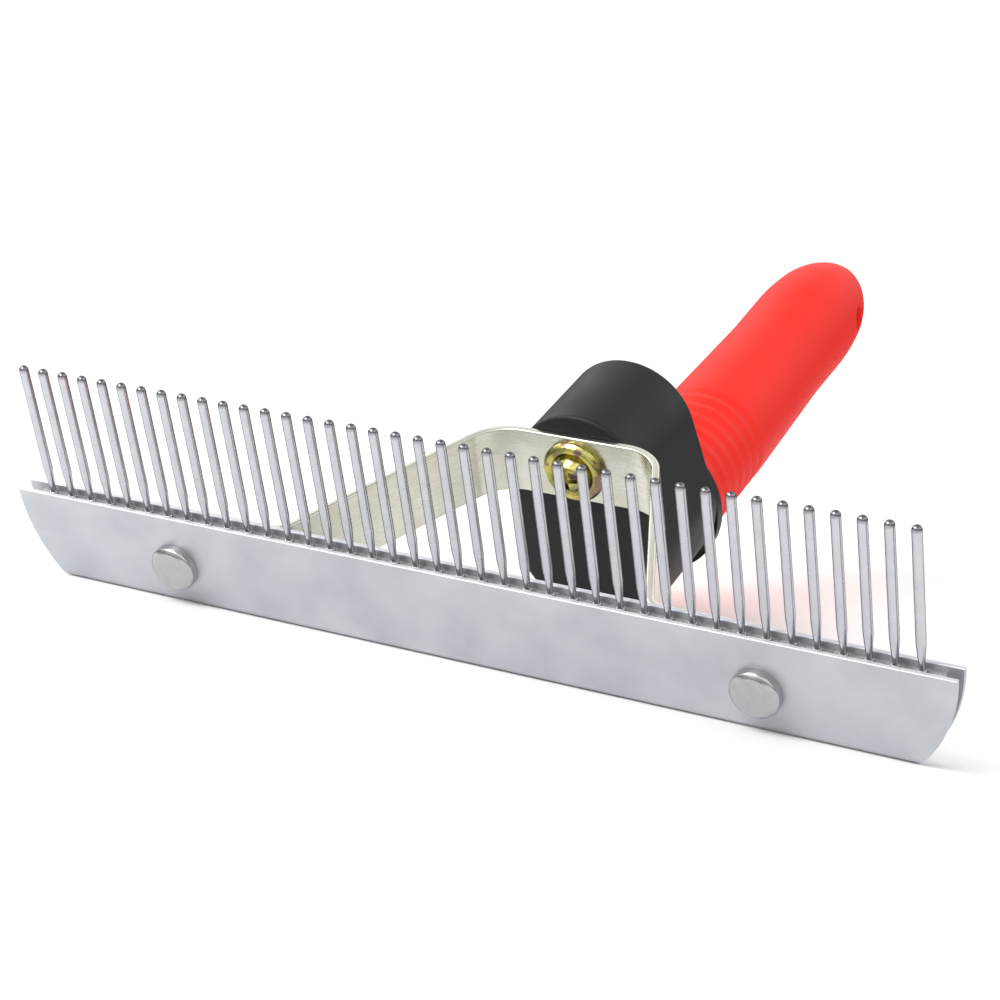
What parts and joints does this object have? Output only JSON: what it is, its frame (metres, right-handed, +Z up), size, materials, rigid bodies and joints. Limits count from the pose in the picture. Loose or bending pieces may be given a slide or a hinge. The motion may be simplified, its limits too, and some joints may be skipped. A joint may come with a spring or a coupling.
{
  "type": "dematting comb",
  "caption": "Wide comb head with a row of free-turning steel pins in a folded channel, joined by a bent strip bracket to a two-part handle for raking out matted coat.",
  "frame": {"origin": "centre of the object's box, on the surface it lies on", "axes": "+Z up from the surface it lies on, pins up and leaning towards -Y, +Y along the handle away from the head, +X along the head to the right"},
  "size_m": [0.21, 0.2108, 0.0785],
  "materials": {
    "zinc_sheet": "satin zinc plate",
    "carrier_steel": "plain drawn steel",
    "core_plastic": "moulded",
    "nickel_strip": "bright nickel plate",
    "rivet_steel": "tumbled steel",
    "gold_zinc": "yellow chromated zinc plate",
    "insert_brass": "turned",
    "black_plastic": "satin moulded",
    "red_rubber": "soft matt moulded",
    "pin_steel": "polished stainless steel"
  },
  "bodies": {
    "root": {"head_channel": "zinc_sheet", "pin_carrier": "carrier_steel", "core_bar": "core_plastic", "bracket": "nickel_strip", "rivet_left": "rivet_steel", "rivet_right": "rivet_steel", "cup_washer": "gold_zinc", "handle_screw": "gold_zinc", "threaded_insert": "insert_brass", "handle_core": "black_plastic", "grip_sleeve": "red_rubber"},
    "body_pin_01": {"pin_01": "pin_steel"},
    "body_pin_02": {"pin_02": "pin_steel"},
    "body_pin_03": {"pin_03": "pin_steel"},
    "body_pin_04": {"pin_04": "pin_steel"},
    "body_pin_05": {"pin_05": "pin_steel"},
    "body_pin_06": {"pin_06": "pin_steel"},
    "body_pin_07": {"pin_07": "pin_steel"},
    "body_pin_08": {"pin_08": "pin_steel"},
    "body_pin_09": {"pin_09": "pin_steel"},
    "body_pin_10": {"pin_10": "pin_steel"},
    "body_pin_11": {"pin_11": "pin_steel"},
    "body_pin_12": {"pin_12": "pin_steel"},
    "body_pin_13": {"pin_13": "pin_steel"},
    "body_pin_14": {"pin_14": "pin_steel"},
    "body_pin_15": {"pin_15": "pin_steel"},
    "body_pin_16": {"pin_16": "pin_steel"},
    "body_pin_17": {"pin_17": "pin_steel"},
    "body_pin_18": {"pin_18": "pin_steel"},
    "body_pin_19": {"pin_19": "pin_steel"},
    "body_pin_20": {"pin_20": "pin_steel"},
    "body_pin_21": {"pin_21": "pin_steel"},
    "body_pin_22": {"pin_22": "pin_steel"},
    "body_pin_23": {"pin_23": "pin_steel"},
    "body_pin_24": {"pin_24": "pin_steel"},
    "body_pin_25": {"pin_25": "pin_steel"},
    "body_pin_26": {"pin_26": "pin_steel"},
    "body_pin_27": {"pin_27": "pin_steel"},
    "body_pin_28": {"pin_28": "pin_steel"},
    "body_pin_29": {"pin_29": "pin_steel"},
    "body_pin_30": {"pin_30": "pin_steel"},
    "body_pin_31": {"pin_31": "pin_steel"},
    "body_pin_32": {"pin_32": "pin_steel"},
    "body_pin_33": {"pin_33": "pin_steel"},
    "body_pin_34": {"pin_34": "pin_steel"},
    "body_pin_35": {"pin_35": "pin_steel"},
    "body_pin_36": {"pin_36": "pin_steel"},
    "body_pin_37": {"pin_37": "pin_steel"},
    "body_pin_38": {"pin_38": "pin_steel"},
    "body_pin_39": {"pin_39": "pin_steel"},
    "body_pin_40": {"pin_40": "pin_steel"}
  },
  "joints": [
    {"name": "pin_01_spin", "type": "hinge", "parent": "root", "child": "body_pin_01", "pos_m": [-0.0975, -0.0902, 0.01663], "axis": [0, -0.4411, 0.8975], "continuous": true},
    {"name": "pin_02_spin", "type": "hinge", "parent": "root", "child": "body_pin_02", "pos_m": [-0.0925, -0.0902, 0.01663], "axis": [0, -0.4411, 0.8975], "continuous": true},
    {"name": "pin_03_spin", "type": "hinge", "parent": "root", "child": "body_pin_03", "pos_m": [-0.0875, -0.0902, 0.01663], "axis": [0, -0.4411, 0.8975], "continuous": true},
    {"name": "pin_04_spin", "type": "hinge", "parent": "root", "child": "body_pin_04", "pos_m": [-0.0825, -0.0902, 0.01663], "axis": [0, -0.4411, 0.8975], "continuous": true},
    {"name": "pin_05_spin", "type": "hinge", "parent": "root", "child": "body_pin_05", "pos_m": [-0.0775, -0.0902, 0.01663], "axis": [0, -0.4411, 0.8975], "continuous": true},
    {"name": "pin_06_spin", "type": "hinge", "parent": "root", "child": "body_pin_06", "pos_m": [-0.0725, -0.0902, 0.01663], "axis": [0, -0.4411, 0.8975], "continuous": true},
    {"name": "pin_07_spin", "type": "hinge", "parent": "root", "child": "body_pin_07", "pos_m": [-0.0675, -0.0902, 0.01663], "axis": [0, -0.4411, 0.8975], "continuous": true},
    {"name": "pin_08_spin", "type": "hinge", "parent": "root", "child": "body_pin_08", "pos_m": [-0.0625, -0.0902, 0.01663], "axis": [0, -0.4411, 0.8975], "continuous": true},
    {"name": "pin_09_spin", "type": "hinge", "parent": "root", "child": "body_pin_09", "pos_m": [-0.0575, -0.0902, 0.01663], "axis": [0, -0.4411, 0.8975], "continuous": true},
    {"name": "pin_10_spin", "type": "hinge", "parent": "root", "child": "body_pin_10", "pos_m": [-0.0525, -0.0902, 0.01663], "axis": [0, -0.4411, 0.8975], "continuous": true},
    {"name": "pin_11_spin", "type": "hinge", "parent": "root", "child": "body_pin_11", "pos_m": [-0.0475, -0.0902, 0.01663], "axis": [0, -0.4411, 0.8975], "continuous": true},
    {"name": "pin_12_spin", "type": "hinge", "parent": "root", "child": "body_pin_12", "pos_m": [-0.0425, -0.0902, 0.01663], "axis": [0, -0.4411, 0.8975], "continuous": true},
    {"name": "pin_13_spin", "type": "hinge", "parent": "root", "child": "body_pin_13", "pos_m": [-0.0375, -0.0902, 0.01663], "axis": [0, -0.4411, 0.8975], "continuous": true},
    {"name": "pin_14_spin", "type": "hinge", "parent": "root", "child": "body_pin_14", "pos_m": [-0.0325, -0.0902, 0.01663], "axis": [0, -0.4411, 0.8975], "continuous": true},
    {"name": "pin_15_spin", "type": "hinge", "parent": "root", "child": "body_pin_15", "pos_m": [-0.0275, -0.0902, 0.01663], "axis": [0, -0.4411, 0.8975], "continuous": true},
    {"name": "pin_16_spin", "type": "hinge", "parent": "root", "child": "body_pin_16", "pos_m": [-0.0225, -0.0902, 0.01663], "axis": [0, -0.4411, 0.8975], "continuous": true},
    {"name": "pin_17_spin", "type": "hinge", "parent": "root", "child": "body_pin_17", "pos_m": [-0.0175, -0.0902, 0.01663], "axis": [0, -0.4411, 0.8975], "continuous": true},
    {"name": "pin_18_spin", "type": "hinge", "parent": "root", "child": "body_pin_18", "pos_m": [-0.0125, -0.0902, 0.01663], "axis": [0, -0.4411, 0.8975], "continuous": true},
    {"name": "pin_19_spin", "type": "hinge", "parent": "root", "child": "body_pin_19", "pos_m": [-0.0075, -0.0902, 0.01663], "axis": [0, -0.4411, 0.8975], "continuous": true},
    {"name": "pin_20_spin", "type": "hinge", "parent": "root", "child": "body_pin_20", "pos_m": [-0.0025, -0.0902, 0.01663], "axis": [0, -0.4411, 0.8975], "continuous": true},
    {"name": "pin_21_spin", "type": "hinge", "parent": "root", "child": "body_pin_21", "pos_m": [0.0025, -0.0902, 0.01663], "axis": [0, -0.4411, 0.8975], "continuous": true},
    {"name": "pin_22_spin", "type": "hinge", "parent": "root", "child": "body_pin_22", "pos_m": [0.0075, -0.0902, 0.01663], "axis": [0, -0.4411, 0.8975], "continuous": true},
    {"name": "pin_23_spin", "type": "hinge", "parent": "root", "child": "body_pin_23", "pos_m": [0.0125, -0.0902, 0.01663], "axis": [0, -0.4411, 0.8975], "continuous": true},
    {"name": "pin_24_spin", "type": "hinge", "parent": "root", "child": "body_pin_24", "pos_m": [0.0175, -0.0902, 0.01663], "axis": [0, -0.4411, 0.8975], "continuous": true},
    {"name": "pin_25_spin", "type": "hinge", "parent": "root", "child": "body_pin_25", "pos_m": [0.0225, -0.0902, 0.01663], "axis": [0, -0.4411, 0.8975], "continuous": true},
    {"name": "pin_26_spin", "type": "hinge", "parent": "root", "child": "body_pin_26", "pos_m": [0.0275, -0.0902, 0.01663], "axis": [0, -0.4411, 0.8975], "continuous": true},
    {"name": "pin_27_spin", "type": "hinge", "parent": "root", "child": "body_pin_27", "pos_m": [0.0325, -0.0902, 0.01663], "axis": [0, -0.4411, 0.8975], "continuous": true},
    {"name": "pin_28_spin", "type": "hinge", "parent": "root", "child": "body_pin_28", "pos_m": [0.0375, -0.0902, 0.01663], "axis": [0, -0.4411, 0.8975], "continuous": true},
    {"name": "pin_29_spin", "type": "hinge", "parent": "root", "child": "body_pin_29", "pos_m": [0.0425, -0.0902, 0.01663], "axis": [0, -0.4411, 0.8975], "continuous": true},
    {"name": "pin_30_spin", "type": "hinge", "parent": "root", "child": "body_pin_30", "pos_m": [0.0475, -0.0902, 0.01663], "axis": [0, -0.4411, 0.8975], "continuous": true},
    {"name": "pin_31_spin", "type": "hinge", "parent": "root", "child": "body_pin_31", "pos_m": [0.0525, -0.0902, 0.01663], "axis": [0, -0.4411, 0.8975], "continuous": true},
    {"name": "pin_32_spin", "type": "hinge", "parent": "root", "child": "body_pin_32", "pos_m": [0.0575, -0.0902, 0.01663], "axis": [0, -0.4411, 0.8975], "continuous": true},
    {"name": "pin_33_spin", "type": "hinge", "parent": "root", "child": "body_pin_33", "pos_m": [0.0625, -0.0902, 0.01663], "axis": [0, -0.4411, 0.8975], "continuous": true},
    {"name": "pin_34_spin", "type": "hinge", "parent": "root", "child": "body_pin_34", "pos_m": [0.0675, -0.0902, 0.01663], "axis": [0, -0.4411, 0.8975], "continuous": true},
    {"name": "pin_35_spin", "type": "hinge", "parent": "root", "child": "body_pin_35", "pos_m": [0.0725, -0.0902, 0.01663], "axis": [0, -0.4411, 0.8975], "continuous": true},
    {"name": "pin_36_spin", "type": "hinge", "parent": "root", "child": "body_pin_36", "pos_m": [0.0775, -0.0902, 0.01663], "axis": [0, -0.4411, 0.8975], "continuous": true},
    {"name": "pin_37_spin", "type": "hinge", "parent": "root", "child": "body_pin_37", "pos_m": [0.0825, -0.0902, 0.01663], "axis": [0, -0.4411, 0.8975], "continuous": true},
    {"name": "pin_38_spin", "type": "hinge", "parent": "root", "child": "body_pin_38", "pos_m": [0.0875, -0.0902, 0.01663], "axis": [0, -0.4411, 0.8975], "continuous": true},
    {"name": "pin_39_spin", "type": "hinge", "parent": "root", "child": "body_pin_39", "pos_m": [0.0925, -0.0902, 0.01663], "axis": [0, -0.4411, 0.8975], "continuous": true},
    {"name": "pin_40_spin", "type": "hinge", "parent": "root", "child": "body_pin_40", "pos_m": [0.0975, -0.0902, 0.01663], "axis": [0, -0.4411, 0.8975], "continuous": true}
  ]
}
